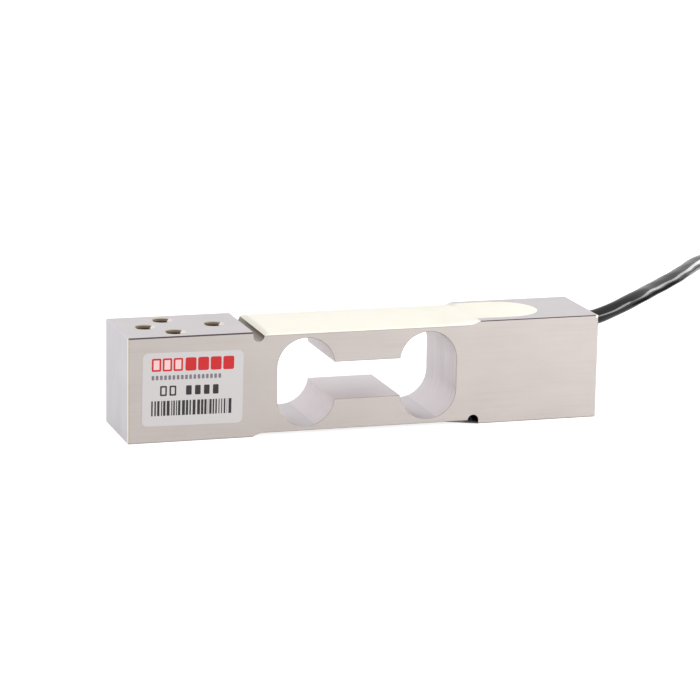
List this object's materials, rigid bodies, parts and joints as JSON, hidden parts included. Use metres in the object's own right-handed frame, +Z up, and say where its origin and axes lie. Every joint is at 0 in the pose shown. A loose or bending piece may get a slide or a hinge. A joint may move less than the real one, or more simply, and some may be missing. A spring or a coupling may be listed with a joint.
{
  "type": "single point load cell",
  "caption": "Single point load cell: a machined steel bar with a two-lobed window over thin bending walls, tapped end blocks, cream potting over the gauges and a black signal cable.",
  "frame": {"origin": "middle of the underside on which both end blocks rest, half way along the bar", "axes": "+X along the bar towards the cable end, +Z up, the labelled side faces -Y"},
  "size_m": [0.2892, 0.0901, 0.0362],
  "materials": {
    "steel": "milled stainless steel with a fine lengthwise grain",
    "polyimide": "clear amber film",
    "foil": "etched foil",
    "board": "glass fibre board",
    "wire": "enamelled copper",
    "foam": "thin insulating pad",
    "ceramic": "glazed ceramic",
    "red_core": "extruded insulation",
    "black_core": "extruded insulation",
    "green_core": "extruded insulation",
    "white_core": "extruded insulation",
    "crimp": "crimped and plated",
    "rubber": "soft black rubber",
    "potting": "satin cream compound",
    "label": "satin silver film",
    "jacket": "glossy black jacket",
    "tie": "black nylon",
    "sleeve": "shrunk sleeve",
    "drain": "tinned strands"
  },
  "bodies": {
    "root": {"elastic_body": "steel", "gauge_film_top_live": "polyimide", "gauge_grid_top_live": "foil", "gauge_film_top_fixed": "polyimide", "gauge_grid_top_fixed": "foil", "solder_strip_top": "board", "bridge_wires_top": "wire", "feed_wires_top": "wire", "gauge_film_bottom_live": "polyimide", "gauge_grid_bottom_live": "foil", "gauge_film_bottom_fixed": "polyimide", "gauge_grid_bottom_fixed": "foil", "solder_strip_bottom": "board", "bridge_wires_bottom": "wire", "feed_wires_bottom": "wire", "circuit_board": "board", "board_pad": "foam", "span_resistor": "ceramic", "zero_resistor": "ceramic", "modulus_resistor": "ceramic", "input_resistor": "ceramic", "core_red": "red_core", "core_black": "black_core", "core_green": "green_core", "core_white": "white_core", "pull_stop": "crimp", "cable_bush": "rubber", "potting_top": "potting", "potting_bottom": "potting", "adhesive_label": "label", "cable_stub": "jacket", "cable_run": "jacket", "cable_coil": "jacket", "cable_tail": "jacket", "coil_tie_near": "tie", "coil_tie_far": "tie", "end_sleeve": "sleeve", "lead_red": "red_core", "lead_black": "black_core", "lead_green": "green_core", "lead_white": "white_core", "lead_drain": "drain"}
  },
  "joints": []
}
